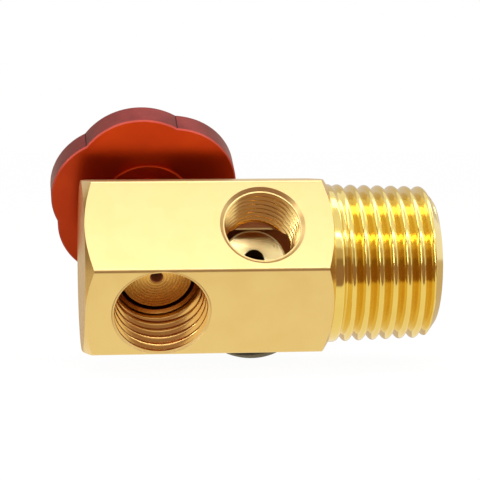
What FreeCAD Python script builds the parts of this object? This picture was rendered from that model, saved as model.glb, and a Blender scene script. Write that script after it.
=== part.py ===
"""Air tank manifold: a hexagonal brass bar with a tapered male tank thread, a hose port, a gauge
port, a hand-turned shut-off valve behind the hose port and a relief valve behind the gauge port.

Millimetres. The origin is on the bar's axis at the shoulder of the tank thread, +X runs out of
the thread and +Z is up. The bar has flats at +Z and -Z and an edge towards -Y, the front.
Each cross-wise piece is drawn about its own Z axis, with 0 at the bar's axis, and then turned
to its face of the bar.
"""
import FreeCAD, Part
import math
import os
import re

import Sketcher

Vector = FreeCAD.Vector
Rotation = FreeCAD.Rotation
X_AXIS = Vector(1, 0, 0)
SAME = 0.001  # two lengths this near to each other are the same

# Driving dimensions: alias, value
DIMENSIONS = [
    # hexagonal bar
    ("across_flats", 22.225),
    ("bar_length", 31.85),
    ("edge_round", 0.62),
    ("end_chamfer_angle", 32.0),
    ("end_circle_inset", 0.02),
    ("shoulder_circle_inset", 0.19),
    ("overcut", 1.0),
    # tapered male thread
    ("tank_thread_length", 14.4),
    ("tank_thread_crest_radius", 10.46),
    ("tank_thread_taper_angle", 1.79),
    ("tank_thread_pitch", 1.8143),
    ("tank_thread_crest", 0.36),
    ("tank_thread_flank_angle", 30.0),
    ("tank_thread_runout_angle", 45.0),
    ("tank_thread_lead_length", 1.2),
    ("tank_thread_end_radius", 8.43),
    # bore from the tank, with the drill's point, and the passage on to the shut-off valve
    ("tank_bore_radius", 4.78),
    ("tank_bore_to_hose_port", 8.2),
    ("tank_bore_chamfer", 0.6),
    ("drill_point_angle", 31.0),
    ("passage_radius", 1.4),
    ("passage_offset", 2.5),
    # hose port, lower front face, coaxial with the shut-off valve
    ("hose_port_to_end", 9.65),
    ("hose_port_radius", 5.56),
    ("hose_port_depth", 8.25),
    ("hose_port_mouth_radius", 6.36),
    ("hose_port_mouth_depth", 0.7),
    ("orifice_radius", 0.75),
    # gauge port, upper front face, coaxial with the relief valve
    ("gauge_port_x", 9.25),
    ("gauge_port_radius", 4.3),
    ("gauge_port_depth", 9.2),
    ("gauge_port_mouth_radius", 5.47),
    ("gauge_port_mouth_depth", 0.9),
    # shut-off valve chamber
    ("chamber_radius", 3.3),
    ("chamber_floor", 0.6),
    ("seat_land_radius", 1.6),
    ("seat_disc_low", 1.4),
    ("close_lift", 0.2),
    ("open_lift", 1.6),
    ("stop_gap", 0.04),
    ("bonnet_thread_radius", 4.45),
    ("bonnet_bore_floor", 5.2),
    ("thread_clearance", 0.02),
    ("running_clearance", 0.05),
    ("mouth_chamfer", 0.3),
    # bonnet and its washer
    ("bonnet_washer_radius", 5.3),
    ("bonnet_washer_thick", 0.5),
    ("bonnet_across_flats", 10.0),
    ("bonnet_hex_thick", 1.5),
    ("bonnet_neck_radius", 3.9),
    ("bonnet_top", 14.2),
    ("bonnet_end_gap", 0.1),
    # seat holder and seat disc
    ("seat_disc_radius", 2.2),
    ("seat_disc_thick", 1.2),
    ("seat_disc_proud", 0.35),
    ("holder_radius", 2.75),
    ("holder_web", 0.85),
    ("holder_lip", 0.6),
    ("bead_radius", 1.9),
    ("bead_thick", 1.0),
    # stem
    ("stem_neck_radius", 1.5),
    ("collar_gap", 0.45),
    ("collar_radius", 2.9),
    ("collar_thick", 2.2),
    ("ring_groove_edge", 0.5),
    ("ring_groove_width", 1.2),
    ("ring_groove_radius", 1.85),
    ("stem_thread_radius", 2.45),
    ("stem_relief_radius", 2.1),
    ("stem_relief_length", 0.5),
    ("spigot_radius", 1.95),
    ("spigot_flat", 1.45),
    ("ring_section_radius", 0.5),
    # knob
    ("knob_near_face", 15.08),
    ("knob_thick", 4.0),
    ("knob_radius", 13.3),
    ("knob_lobe_radius", 8.95),
    ("knob_lobe_turn", 42.6),
    ("knob_edge", 0.35),
    ("hub_radius", 6.3),
    ("hub_height", 0.3),
    ("knob_pocket_radius", 2.8),
    ("knob_pocket_depth", 2.2),
    # knob screw and lock washer
    ("screw_radius", 1.25),
    ("screw_length", 6.0),
    ("screw_head_radius", 2.4),
    ("screw_head_thick", 1.5),
    ("screw_socket", 2.0),
    ("screw_socket_depth", 0.9),
    ("lock_washer_thick", 0.6),
    ("lock_washer_split", 0.5),
    ("washer_clearance", 0.1),
    # relief valve, rear lower face
    ("relief_thread_radius", 4.45),
    ("relief_nose_radius", 4.2),
    ("relief_nose_end", 1.4),
    ("relief_nose_chamfer", 0.15),
    ("relief_thread_start", 4.9),
    ("relief_inlet_radius", 1.35),
    ("relief_chamber_radius", 3.0),
    ("relief_chamber_floor", 6.6),
    ("relief_seat_height", 0.4),
    ("relief_seat_radius", 2.0),
    ("gasket_radius", 7.4),
    ("gasket_thick", 0.6),
    ("washer_radius", 8.05),
    ("washer_hole_radius", 5.2),
    ("washer_thick", 1.0),
    ("washer_shift", 0.7),
    ("relief_across_flats", 12.0),
    ("relief_hex_thick", 2.3),
    ("relief_neck_radius", 4.6),
    ("relief_top", 17.4),
    ("poppet_radius", 2.7),
    ("poppet_skirt", 0.5),
    ("poppet_seal_thick", 0.8),
    ("poppet_plate", 1.0),
    ("poppet_nub_radius", 1.4),
    ("poppet_nub_length", 1.6),
    ("seal_gap", 0.02),
    ("spring_radius", 2.1),
    ("spring_wire_radius", 0.35),
    ("spring_turns", 4.5),
    ("adjuster_inset", 0.5),
    ("adjuster_thick", 2.3),
    ("adjuster_socket", 2.5),
    ("adjuster_socket_depth", 1.2),
    ("vent_radius", 0.8),
]
# The faces of the bar, as the angle of each about X, from +Y
REAR_UPPER, FRONT_UPPER, FRONT_LOWER, REAR_LOWER = 30, 150, 210, -30

# Sizes and places that follow from those, worked out in the sheet
PLACES = [
    ("face", "across_flats / 2"),
    ("end_circle", "face - end_circle_inset"),
    ("end_chamfer_drop", "(across_flats - end_circle) * tan(end_chamfer_angle)"),
    ("shoulder_circle", "face - shoulder_circle_inset"),
    ("shoulder_chamfer_drop", "(across_flats - shoulder_circle) * tan(end_chamfer_angle)"),
    ("lead_start", "tank_thread_length - tank_thread_lead_length"),
    ("taper", "tan(tank_thread_taper_angle)"),
    ("lead_radius", "tank_thread_crest_radius - taper * lead_start"),
    ("groove_depth", "(tank_thread_pitch - tank_thread_crest) / 2 / tan(tank_thread_flank_angle)"),
    ("groove_mouth", "tank_thread_pitch - tank_thread_crest / 3"),
    ("groove_reach", "groove_mouth / 2 / tan(tank_thread_flank_angle)"),
    # the groove starts clear of the end, runs whole turns, and climbs out before the shoulder
    ("groove_start", "tank_thread_length + tank_thread_pitch * 0.42"),
    ("groove_length", "floor(groove_start / tank_thread_pitch - 1.2) * tank_thread_pitch"),
    ("runout_length", "1.1 * groove_depth / tan(tank_thread_runout_angle)"),
    ("hose_port_x", "bar_length - hose_port_to_end"),
    ("tank_bore_end", "hose_port_x - tank_bore_to_hose_port"),
    ("drill_point", "tank_bore_end + tank_bore_radius * tan(drill_point_angle)"),
    ("hose_floor", "face - hose_port_depth"),
    ("seat_top", "seat_disc_low - close_lift - stop_gap"),
    ("disc_top", "seat_disc_low + seat_disc_thick"),
    ("holder_low", "seat_disc_low + seat_disc_proud"),
    ("socket_low", "disc_top + holder_web"),
    ("bead_low", "socket_low + running_clearance"),
    ("bead_top", "bead_low + bead_thick"),
    ("lip_low", "bead_top + running_clearance"),
    ("lip_top", "lip_low + holder_lip"),
    ("collar_low", "lip_top + collar_gap"),
    ("groove_low", "collar_low + ring_groove_edge"),
    ("groove_top", "groove_low + ring_groove_width"),
    ("collar_top", "collar_low + collar_thick"),
    ("thread_low", "collar_top + stem_relief_length"),
    ("bonnet_bore", "bonnet_thread_radius + thread_clearance"),
    ("bonnet_low", "bonnet_bore_floor + bonnet_end_gap"),
    ("cavity_top", "collar_top + open_lift + stop_gap"),
    ("bonnet_seat", "face + bonnet_washer_thick"),
    ("bonnet_hex_top", "bonnet_seat + bonnet_hex_thick"),
    ("hub_face", "knob_near_face - hub_height"),
    ("knob_far_face", "knob_near_face + knob_thick"),
    ("pocket_floor", "knob_far_face - knob_pocket_depth"),
    ("spigot_top", "pocket_floor - hub_height"),
    ("head_low", "pocket_floor + lock_washer_thick"),
    ("head_top", "head_low + screw_head_thick"),
    ("screw_tip", "head_low - screw_length"),
    ("screw_hole", "screw_radius + thread_clearance"),
    ("tapped_end", "screw_tip - stem_relief_length"),
    ("relief_bore", "relief_thread_radius + thread_clearance"),
    ("washer_low", "face + gasket_thick"),
    ("relief_seat", "washer_low + washer_thick"),
    ("relief_hex_top", "relief_seat + relief_hex_thick"),
    ("valve_seat", "relief_chamber_floor + relief_seat_height"),
    ("seal_low", "valve_seat + seal_gap"),
    ("seal_top", "seal_low + poppet_seal_thick"),
    ("plate_top", "seal_top + poppet_plate"),
    ("nub_top", "plate_top + poppet_nub_length"),
    ("adjuster_top", "relief_top - adjuster_inset"),
    ("adjuster_low", "adjuster_top - adjuster_thick"),
    ("spring_low", "plate_top + seal_gap + spring_wire_radius"),
    ("spring_rise", "adjuster_low - seal_gap - spring_wire_radius - spring_low"),
]
ALIASES = {alias for alias, value in DIMENSIONS + PLACES}

doc = FreeCAD.newDocument("air_manifold")
sheet = doc.addObject("Spreadsheet::Sheet", "Sizes")
for row, (alias, value) in enumerate(DIMENSIONS + PLACES, start=1):
    sheet.set(f"A{row}", alias)
    sheet.set(f"B{row}", f"={value}" if isinstance(value, str) else str(value))
    sheet.setAlias(f"B{row}", alias)
trial = doc.addObject("Spreadsheet::Sheet", "Trial")
doc.recompute()

nodes = []


def sized(text):
    """An expression in which each alias names its cell of the sheet."""
    return re.sub(r"[a-z_]+", lambda m: "Sizes." * (m.group() in ALIASES) + m.group(), text)


def size(text):
    """The number that such an expression comes to."""
    trial.set("A1", "=" + sized(text))
    trial.recompute()
    return float(trial.get("A1"))


def plane_of(body, role):
    return next(item for item in body.Origin.OriginFeatures if item.Role == role)


def new_body(name):
    body = doc.addObject("PartDesign::Body", name)
    body.Label = name
    nodes.append(body)
    return body


def new_sketch(body, name, plane, along="0", turn=0):
    """A sketch on one of the body's own origin planes, moved off it or along X and turned about X."""
    sketch = body.newObject("Sketcher::SketchObject", name)
    sketch.AttachmentSupport = [(plane_of(body, plane), "")]
    sketch.MapMode = "FlatFace"
    sketch.AttachmentOffset = FreeCAD.Placement(Vector(0, 0, 0), Rotation(X_AXIS, turn))
    if along != "0":
        sketch.setExpression(f".AttachmentOffset.Base.{'x' if turn else 'z'}", sized(along))
    return sketch


def hold(sketch, text, kind, *points):
    """A dimension whose value is an expression."""
    held = sketch.addConstraint(Sketcher.Constraint(kind, *points, size(text)))
    sketch.setExpression(f"Constraints[{held}]", sized(text))


def closed_outline(sketch, corners):
    """Straight lines through the corners, each held at its own (x, y) expressions."""
    points = [Vector(size(x), size(y), 0) for x, y in corners]
    following = [(i + 1) % len(corners) for i in range(len(corners))]
    for i, j in enumerate(following):
        sketch.addGeometry(Part.LineSegment(points[i], points[j]), False)
    for i, j in enumerate(following):
        sketch.addConstraint(Sketcher.Constraint("Coincident", i, 2, j, 1))
    for i, (x, y) in enumerate(corners):
        hold(sketch, x, "DistanceX", -1, 1, i, 1)
        hold(sketch, y, "DistanceY", -1, 1, i, 1)


def octagon(radius, across, height):
    """Corners of an eight-sided section whose sides touch a circle, to keep round wire's faces few."""
    corner = f"{radius} / cos(22.5)"
    turns = [f"({45 * side} + 22.5)" for side in range(8)]
    return [(f"{across} + {corner} * cos{turn}", f"{height} + {corner} * sin{turn}") for turn in turns]


def turned(body, name, corners, cut=False, plane="XZ_Plane", along="0", turn=0, axis="V_Axis"):
    """Turn a closed outline of (radius, height) corners about the sketch's axis."""
    sketch = new_sketch(body, name + "_outline", plane, along, turn)
    closed_outline(sketch, corners)
    made = body.newObject("PartDesign::Groove" if cut else "PartDesign::Revolution", name)
    made.Profile = sketch
    made.ReferenceAxis = (sketch, [axis])
    made.Angle = 360.0
    doc.recompute()


def bored(body, name, corners, along, face_angle):
    """Turn a hole about the axis that points out of one face of the bar."""
    turned(body, name, corners, cut=True, plane="XY_Plane", along=along, turn=face_angle)


def round_bar(body, name, corners, cut=False):
    """Turn a closed outline of (along, radius) corners about the bar's axis."""
    turned(body, name, corners, cut=cut, plane="XY_Plane", axis="H_Axis")


def extruded(body, kind, name, sketch, length, **settings):
    made = body.newObject("PartDesign::" + kind, name)
    made.Profile = sketch
    made.setExpression("Length", sized(length))
    for key, value in settings.items():
        setattr(made, key, value)
    doc.recompute()


def regular_hexagon(sketch, flats):
    """A hexagon across the given flats, with corners on the sketch's X axis."""
    corner = f"{flats} / sqrt(3)"
    half = f"{flats} / sqrt(3) / 2"
    flat = f"{flats} / 2"
    closed_outline(sketch, [
        (corner, "0"), (half, flat), (f"-{half}", flat),
        (f"-{corner}", "0"), (f"-{half}", f"-{flat}"), (half, f"-{flat}")])


def hexagon_head(body, name, flats, low, high):
    """A hexagonal head whose outer corners are turned off at the angle of the bar's ends."""
    section = new_sketch(body, name + "_section", "XY_Plane", along=low)
    regular_hexagon(section, flats)
    extruded(body, "Pad", name, section, f"{high} - {low}")
    turned(body, name + "_chamfer", [
        (f"{flats} / 2", high), (flats, high),
        (flats, f"{high} - {flats} / 2 * tan(end_chamfer_angle)")], cut=True)


def dressed(body, kind, name, wanted, measure, amount):
    """A fillet or chamfer on the wanted edges of the body's last feature."""
    base = body.Tip
    edges = [f"Edge{i}" for i, edge in enumerate(base.Shape.Edges, start=1) if wanted(edge)]
    made = body.newObject("PartDesign::" + kind, name)
    made.Base = (base, edges)
    made.setExpression(measure, sized(amount))
    doc.recompute()


def place(body, along, face_angle):
    """Turn a piece drawn about Z so that its axis points out of a face of the bar."""
    body.Placement = FreeCAD.Placement(Vector(0, 0, 0), Rotation(X_AXIS, face_angle - 90))
    body.setExpression(".Placement.Base.x", sized(along))


def helical_groove(body, name, start, length, widening):
    """Cut the tank thread's groove along a widening helix, from a start back towards the shoulder."""
    section = new_sketch(body, name + "_section", "XY_Plane")
    root = f"tank_thread_crest_radius - taper * ({start}) - groove_depth"
    closed_outline(section, [
        (start, root), (f"{start} + groove_mouth / 2", f"{root} + groove_reach"),
        (f"{start} - groove_mouth / 2", f"{root} + groove_reach")])
    helix = body.newObject("PartDesign::SubtractiveHelix", name)
    helix.Profile = section
    helix.ReferenceAxis = (section, ["H_Axis"])
    helix.Mode = 0
    helix.Reversed = True
    helix.setExpression("Pitch", sized("tank_thread_pitch"))
    helix.setExpression("Height", sized(length))
    helix.setExpression("Angle", sized(widening))
    doc.recompute()


def make_manifold_body():
    """The bar, cut from drawn hexagonal brass, turned at both ends, then drilled."""
    body = new_body("manifold_body")
    section = new_sketch(body, "bar_section", "YZ_Plane")
    regular_hexagon(section, "across_flats")
    extruded(body, "Pad", "bar", section, "bar_length", Reversed=True)
    length = size("bar_length")
    dressed(body, "Fillet", "bar_edges",
            lambda edge: abs(edge.BoundBox.XLength - length) < SAME, "Radius", "edge_round")

    round_bar(body, "tank_thread", [
        ("-overcut", "0"), ("-overcut", "tank_thread_crest_radius"), ("0", "tank_thread_crest_radius"),
        ("lead_start", "lead_radius"), ("tank_thread_length", "tank_thread_end_radius"),
        ("tank_thread_length", "0")])
    round_bar(body, "shoulder_chamfer", [
        ("0", "shoulder_circle"), ("0", "across_flats"), ("-shoulder_chamfer_drop", "across_flats")],
        cut=True)
    round_bar(body, "end_chamfer", [
        ("-bar_length", "end_circle"), ("-bar_length", "across_flats"),
        ("end_chamfer_drop - bar_length", "across_flats")], cut=True)
    round_bar(body, "tank_bore", [
        ("tank_thread_length", "0"), ("-drill_point", "0"), ("-tank_bore_end", "tank_bore_radius"),
        ("tank_thread_length - tank_bore_chamfer", "tank_bore_radius"),
        ("tank_thread_length", "tank_bore_radius + tank_bore_chamfer")], cut=True)
    helical_groove(body, "tank_thread_groove", "groove_start", "groove_length", "tank_thread_taper_angle")
    helical_groove(body, "tank_thread_runout", "groove_start - groove_length", "runout_length",
                   "tank_thread_runout_angle")

    bored(body, "hose_port", [
        ("0", "hose_floor"), ("hose_port_radius", "hose_floor"),
        ("hose_port_radius", "face - hose_port_mouth_depth"),
        ("hose_port_mouth_radius", "face"), ("hose_port_mouth_radius", "face + overcut"),
        ("0", "face + overcut")], "-hose_port_x", FRONT_LOWER)
    bored(body, "gauge_port", [
        ("0", "face - gauge_port_depth"), ("gauge_port_radius", "face - gauge_port_depth"),
        ("gauge_port_radius", "face - gauge_port_mouth_depth"),
        ("gauge_port_mouth_radius", "face"), ("gauge_port_mouth_radius", "face + overcut"),
        ("0", "face + overcut")], "-gauge_port_x", FRONT_UPPER)
    bored(body, "valve_chamber", [
        ("0", "seat_top"), ("seat_land_radius", "seat_top"), ("seat_land_radius", "chamber_floor"),
        ("chamber_radius", "chamber_floor"), ("chamber_radius", "bonnet_bore_floor"),
        ("bonnet_bore", "bonnet_bore_floor"), ("bonnet_bore", "face - mouth_chamfer"),
        ("bonnet_bore + mouth_chamfer", "face"), ("bonnet_bore + mouth_chamfer", "face + overcut"),
        ("0", "face + overcut")], "-hose_port_x", REAR_UPPER)
    bored(body, "orifice", [
        ("0", "-hose_floor - overcut"), ("orifice_radius", "-hose_floor - overcut"),
        ("orifice_radius", "seat_top + overcut"), ("0", "seat_top + overcut")], "-hose_port_x", REAR_UPPER)
    bored(body, "relief_port", [
        ("0", "0"), ("relief_bore", "0"), ("relief_bore", "face - mouth_chamfer"),
        ("relief_bore + mouth_chamfer", "face"), ("relief_bore + mouth_chamfer", "face + overcut"),
        ("0", "face + overcut")], "-gauge_port_x", REAR_LOWER)

    passage = new_sketch(body, "passage_circle", "YZ_Plane", along="-tank_bore_end")
    centre = Vector(size("passage_offset * cos(30)"), size("passage_offset * sin(30)"), 0)
    passage.addGeometry(Part.Circle(centre, Vector(0, 0, 1), size("passage_radius")), False)
    hold(passage, "passage_radius", "Radius", 0)
    hold(passage, "passage_offset * cos(30)", "DistanceX", -1, 1, 0, 3)
    hold(passage, "passage_offset * sin(30)", "DistanceY", -1, 1, 0, 3)
    extruded(body, "Pocket", "passage", passage, "hose_port_x - tank_bore_end - chamber_radius / 2")


def make_valve_bonnet():
    """A brass nut that screws in behind the stem's collar and carries the stem's thread."""
    body = new_body("valve_bonnet")
    hexagon_head(body, "bonnet_flats", "bonnet_across_flats", "bonnet_seat", "bonnet_hex_top")
    turned(body, "bonnet_shank", [
        ("0", "bonnet_low"), ("bonnet_thread_radius - mouth_chamfer", "bonnet_low"),
        ("bonnet_thread_radius", "bonnet_low + mouth_chamfer"),
        ("bonnet_thread_radius", "bonnet_seat"), ("bonnet_neck_radius", "bonnet_seat"),
        ("bonnet_neck_radius", "bonnet_top - mouth_chamfer"),
        ("bonnet_neck_radius - mouth_chamfer", "bonnet_top"), ("0", "bonnet_top")])
    turned(body, "stem_bore", [
        ("0", "bonnet_low"), ("collar_radius + running_clearance", "bonnet_low"),
        ("collar_radius + running_clearance", "cavity_top"),
        ("stem_thread_radius + running_clearance", "cavity_top"),
        ("stem_thread_radius + running_clearance", "bonnet_top"), ("0", "bonnet_top")], cut=True)
    place(body, "-hose_port_x", REAR_UPPER)


def make_bonnet_washer():
    body = new_body("bonnet_washer")
    turned(body, "washer", [
        ("bonnet_thread_radius + washer_clearance", "face"), ("bonnet_washer_radius", "face"),
        ("bonnet_washer_radius", "bonnet_seat"),
        ("bonnet_thread_radius + washer_clearance", "bonnet_seat")])
    place(body, "-hose_port_x", REAR_UPPER)


def make_seat_disc():
    """The soft disc that closes the orifice."""
    body = new_body("seat_disc")
    turned(body, "disc", [
        ("0", "seat_disc_low"), ("seat_disc_radius", "seat_disc_low"),
        ("seat_disc_radius", "disc_top"), ("0", "disc_top")])
    place(body, "-hose_port_x", REAR_UPPER)


def make_seat_holder():
    """A brass cup with the seat disc below and the stem's bead held in its crimped socket."""
    body = new_body("seat_holder")
    turned(body, "holder", [
        ("seat_disc_radius", "holder_low"), ("holder_radius - mouth_chamfer", "holder_low"),
        ("holder_radius", "holder_low + mouth_chamfer"), ("holder_radius", "lip_top - mouth_chamfer"),
        ("holder_radius - mouth_chamfer", "lip_top"),
        ("stem_neck_radius + running_clearance", "lip_top"),
        ("stem_neck_radius + running_clearance", "lip_low"),
        ("bead_radius + running_clearance", "lip_low"),
        ("bead_radius + running_clearance", "socket_low"),
        ("0", "socket_low"), ("0", "disc_top"), ("seat_disc_radius", "disc_top")])
    place(body, "-hose_port_x", REAR_UPPER)


def make_valve_stem():
    """The screwed spindle: bead, collar with its ring groove, thread, and a spigot with a flat."""
    body = new_body("valve_stem")
    turned(body, "spindle", [
        ("0", "bead_low"), ("bead_radius", "bead_low"), ("bead_radius", "bead_top"),
        ("stem_neck_radius", "bead_top"), ("stem_neck_radius", "collar_low"),
        ("collar_radius", "collar_low"), ("collar_radius", "groove_low"),
        ("ring_groove_radius", "groove_low"), ("ring_groove_radius", "groove_top"),
        ("collar_radius", "groove_top"), ("collar_radius", "collar_top"),
        ("stem_relief_radius", "collar_top"), ("stem_relief_radius", "thread_low"),
        ("stem_thread_radius", "thread_low"), ("stem_thread_radius", "hub_face"),
        ("spigot_radius", "hub_face"), ("spigot_radius", "spigot_top"),
        ("screw_hole", "spigot_top"), ("screw_hole", "tapped_end"), ("0", "tapped_end")])
    flat = new_sketch(body, "spigot_flat_area", "XY_Plane", along="spigot_top")
    closed_outline(flat, [
        ("spigot_flat", "-spigot_radius"), ("spigot_radius", "-spigot_radius"),
        ("spigot_radius", "spigot_radius"), ("spigot_flat", "spigot_radius")])
    extruded(body, "Pocket", "spigot_flat_cut", flat, "spigot_top - hub_face")
    place(body, "-hose_port_x", REAR_UPPER)


def make_stem_ring():
    """The rubber ring in the collar's groove."""
    body = new_body("stem_ring")
    turned(body, "ring", octagon(
        "ring_section_radius", "ring_groove_radius + running_clearance + ring_section_radius",
        "(groove_low + groove_top) / 2"))
    place(body, "-hose_port_x", REAR_UPPER)


def make_valve_knob():
    """A six-lobed turned and milled aluminium wheel, driven by the flat of the stem's spigot."""
    body = new_body("valve_knob")
    lobe = body.newObject("PartDesign::AdditiveCylinder", "lobe")
    lobe.AttachmentSupport = [(plane_of(body, "XY_Plane"), "")]
    lobe.MapMode = "FlatFace"
    lobe.setExpression("Radius", sized("knob_lobe_radius"))
    lobe.setExpression("Height", sized("knob_thick"))
    reach = "(knob_radius - knob_lobe_radius)"
    lobe.setExpression(".AttachmentOffset.Base.x", sized(f"{reach} * cos(knob_lobe_turn)"))
    lobe.setExpression(".AttachmentOffset.Base.y", sized(f"{reach} * sin(knob_lobe_turn)"))
    lobe.setExpression(".AttachmentOffset.Base.z", sized("knob_near_face"))
    doc.recompute()
    ring = body.newObject("PartDesign::PolarPattern", "lobes")
    ring.Originals = [lobe]
    ring.Axis = (plane_of(body, "Z_Axis"), [""])
    ring.Angle = 360.0
    ring.Occurrences = 6
    body.Tip = ring
    doc.recompute()
    flat_span = size("knob_lobe_radius / 2")
    dressed(body, "Chamfer", "knob_edges",
            lambda edge: edge.BoundBox.ZLength < SAME and edge.BoundBox.DiagonalLength > flat_span,
            "Size", "knob_edge")
    turned(body, "hub", [
        ("0", "hub_face"), ("hub_radius - hub_height / 2", "hub_face"),
        ("hub_radius", "knob_near_face"), ("hub_radius", "hub_face + overcut"), ("0", "hub_face + overcut")])
    turned(body, "screw_pocket", [
        ("0", "pocket_floor"), ("knob_pocket_radius", "pocket_floor"),
        ("knob_pocket_radius", "knob_far_face - mouth_chamfer"),
        ("knob_pocket_radius + mouth_chamfer", "knob_far_face"),
        ("knob_pocket_radius + mouth_chamfer", "knob_far_face + overcut"), ("0", "knob_far_face + overcut")],
        cut=True)
    bore = new_sketch(body, "spigot_bore_area", "XY_Plane", along="pocket_floor")
    radius = size("spigot_radius + thread_clearance")
    flat = size("spigot_flat + thread_clearance")
    half = math.sqrt(radius ** 2 - flat ** 2)
    turn = math.atan2(half, flat)
    circle = Part.Circle(Vector(0, 0, 0), Vector(0, 0, 1), radius)
    bore.addGeometry(Part.ArcOfCircle(circle, turn, 2 * math.pi - turn), False)
    bore.addGeometry(Part.LineSegment(Vector(flat, -half, 0), Vector(flat, half, 0)), False)
    bore.addConstraint(Sketcher.Constraint("Coincident", 0, 3, -1, 1))
    bore.addConstraint(Sketcher.Constraint("Coincident", 0, 2, 1, 1))
    bore.addConstraint(Sketcher.Constraint("Coincident", 0, 1, 1, 2))
    bore.addConstraint(Sketcher.Constraint("Vertical", 1))
    hold(bore, "spigot_radius + thread_clearance", "Radius", 0)
    hold(bore, "spigot_flat + thread_clearance", "DistanceX", -1, 1, 1, 1)
    extruded(body, "Pocket", "spigot_bore", bore, "pocket_floor - hub_face")
    place(body, "-hose_port_x", REAR_UPPER)


def make_knob_lock_washer():
    """A split spring washer under the screw's head."""
    body = new_body("knob_lock_washer")
    turned(body, "washer_ring", [
        ("screw_radius + washer_clearance", "pocket_floor"), ("screw_head_radius", "pocket_floor"),
        ("screw_head_radius", "head_low"), ("screw_radius + washer_clearance", "head_low")])
    split = new_sketch(body, "split_area", "XY_Plane", along="head_low")
    closed_outline(split, [
        ("0", "-lock_washer_split / 2"), ("screw_head_radius + overcut", "-lock_washer_split / 2"),
        ("screw_head_radius + overcut", "lock_washer_split / 2"), ("0", "lock_washer_split / 2")])
    extruded(body, "Pocket", "split", split, "lock_washer_thick")
    place(body, "-hose_port_x", REAR_UPPER)


def make_knob_screw():
    """A socket-headed screw down the spigot."""
    body = new_body("knob_screw")
    turned(body, "screw", [
        ("0", "screw_tip"), ("screw_radius - mouth_chamfer", "screw_tip"),
        ("screw_radius", "screw_tip + mouth_chamfer"), ("screw_radius", "head_low"),
        ("screw_head_radius", "head_low"), ("screw_head_radius", "head_top - mouth_chamfer"),
        ("screw_head_radius - mouth_chamfer", "head_top"), ("0", "head_top")])
    socket = new_sketch(body, "screw_socket_area", "XY_Plane", along="head_top")
    regular_hexagon(socket, "screw_socket")
    extruded(body, "Pocket", "screw_socket_cut", socket, "screw_socket_depth")
    place(body, "-hose_port_x", REAR_UPPER)


def make_relief_body():
    """The relief valve's brass body: its nose reaches across the tank bore below the gauge port."""
    body = new_body("relief_body")
    hexagon_head(body, "relief_flats", "relief_across_flats", "relief_seat", "relief_hex_top")
    turned(body, "relief_shank", [
        ("0", "-relief_nose_end"), ("relief_nose_radius - relief_nose_chamfer", "-relief_nose_end"),
        ("relief_nose_radius", "relief_nose_chamfer - relief_nose_end"),
        ("relief_nose_radius", "relief_thread_start"), ("relief_thread_radius", "relief_thread_start"),
        ("relief_thread_radius", "relief_seat + overcut"), ("relief_neck_radius", "relief_seat + overcut"),
        ("relief_neck_radius", "relief_top - mouth_chamfer"),
        ("relief_neck_radius - mouth_chamfer", "relief_top"), ("0", "relief_top")])
    turned(body, "relief_chamber", [
        ("0", "valve_seat"), ("relief_seat_radius", "valve_seat"),
        ("relief_seat_radius", "relief_chamber_floor"),
        ("relief_chamber_radius", "relief_chamber_floor"),
        ("relief_chamber_radius", "relief_top"), ("0", "relief_top")], cut=True)
    turned(body, "relief_inlet", [
        ("0", "-relief_nose_end"), ("relief_inlet_radius", "-relief_nose_end"),
        ("relief_inlet_radius", "valve_seat"), ("0", "valve_seat")], cut=True)
    place(body, "-gauge_port_x", REAR_LOWER)


def make_relief_washers():
    """A rubber gasket on the bar's face and a steel washer that sits to one side in its clearance."""
    gasket = new_body("relief_gasket")
    turned(gasket, "gasket_ring", [
        ("relief_thread_radius + washer_clearance", "face"), ("gasket_radius", "face"),
        ("gasket_radius", "washer_low"), ("relief_thread_radius + washer_clearance", "washer_low")])
    place(gasket, "-gauge_port_x", REAR_LOWER)
    washer = new_body("relief_washer")
    turned(washer, "washer_disc", [
        ("washer_hole_radius", "washer_low"), ("washer_radius", "washer_low"),
        ("washer_radius", "relief_seat"), ("washer_hole_radius", "relief_seat")])
    place(washer, "washer_shift - gauge_port_x", REAR_LOWER)


def make_relief_poppet():
    """The lifting piece: a brass guide with a nub for the spring and a soft seal below."""
    body = new_body("relief_poppet")
    turned(body, "poppet", [
        ("relief_seat_radius", "seal_top - poppet_skirt"), ("poppet_radius", "seal_top - poppet_skirt"),
        ("poppet_radius", "plate_top"), ("poppet_nub_radius", "plate_top"),
        ("poppet_nub_radius", "nub_top"), ("0", "nub_top"), ("0", "seal_top"),
        ("relief_seat_radius", "seal_top")])
    place(body, "-gauge_port_x", REAR_LOWER)
    seal = new_body("poppet_seal")
    turned(seal, "seal_disc", [
        ("0", "seal_low"), ("relief_seat_radius", "seal_low"),
        ("relief_seat_radius", "seal_top"), ("0", "seal_top")])
    place(seal, "-gauge_port_x", REAR_LOWER)


def make_relief_spring():
    """A coil spring between the poppet's shoulder and the adjuster."""
    body = new_body("relief_spring")
    wire = new_sketch(body, "wire_section", "XZ_Plane")
    closed_outline(wire, octagon("spring_wire_radius", "spring_radius", "spring_low"))
    coil = body.newObject("PartDesign::AdditiveHelix", "coil")
    coil.Profile = wire
    coil.ReferenceAxis = (wire, ["V_Axis"])
    coil.Mode = 0
    coil.setExpression("Pitch", sized("spring_rise / spring_turns"))
    coil.setExpression("Height", sized("spring_rise"))
    doc.recompute()
    place(body, "-gauge_port_x", REAR_LOWER)


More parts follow.
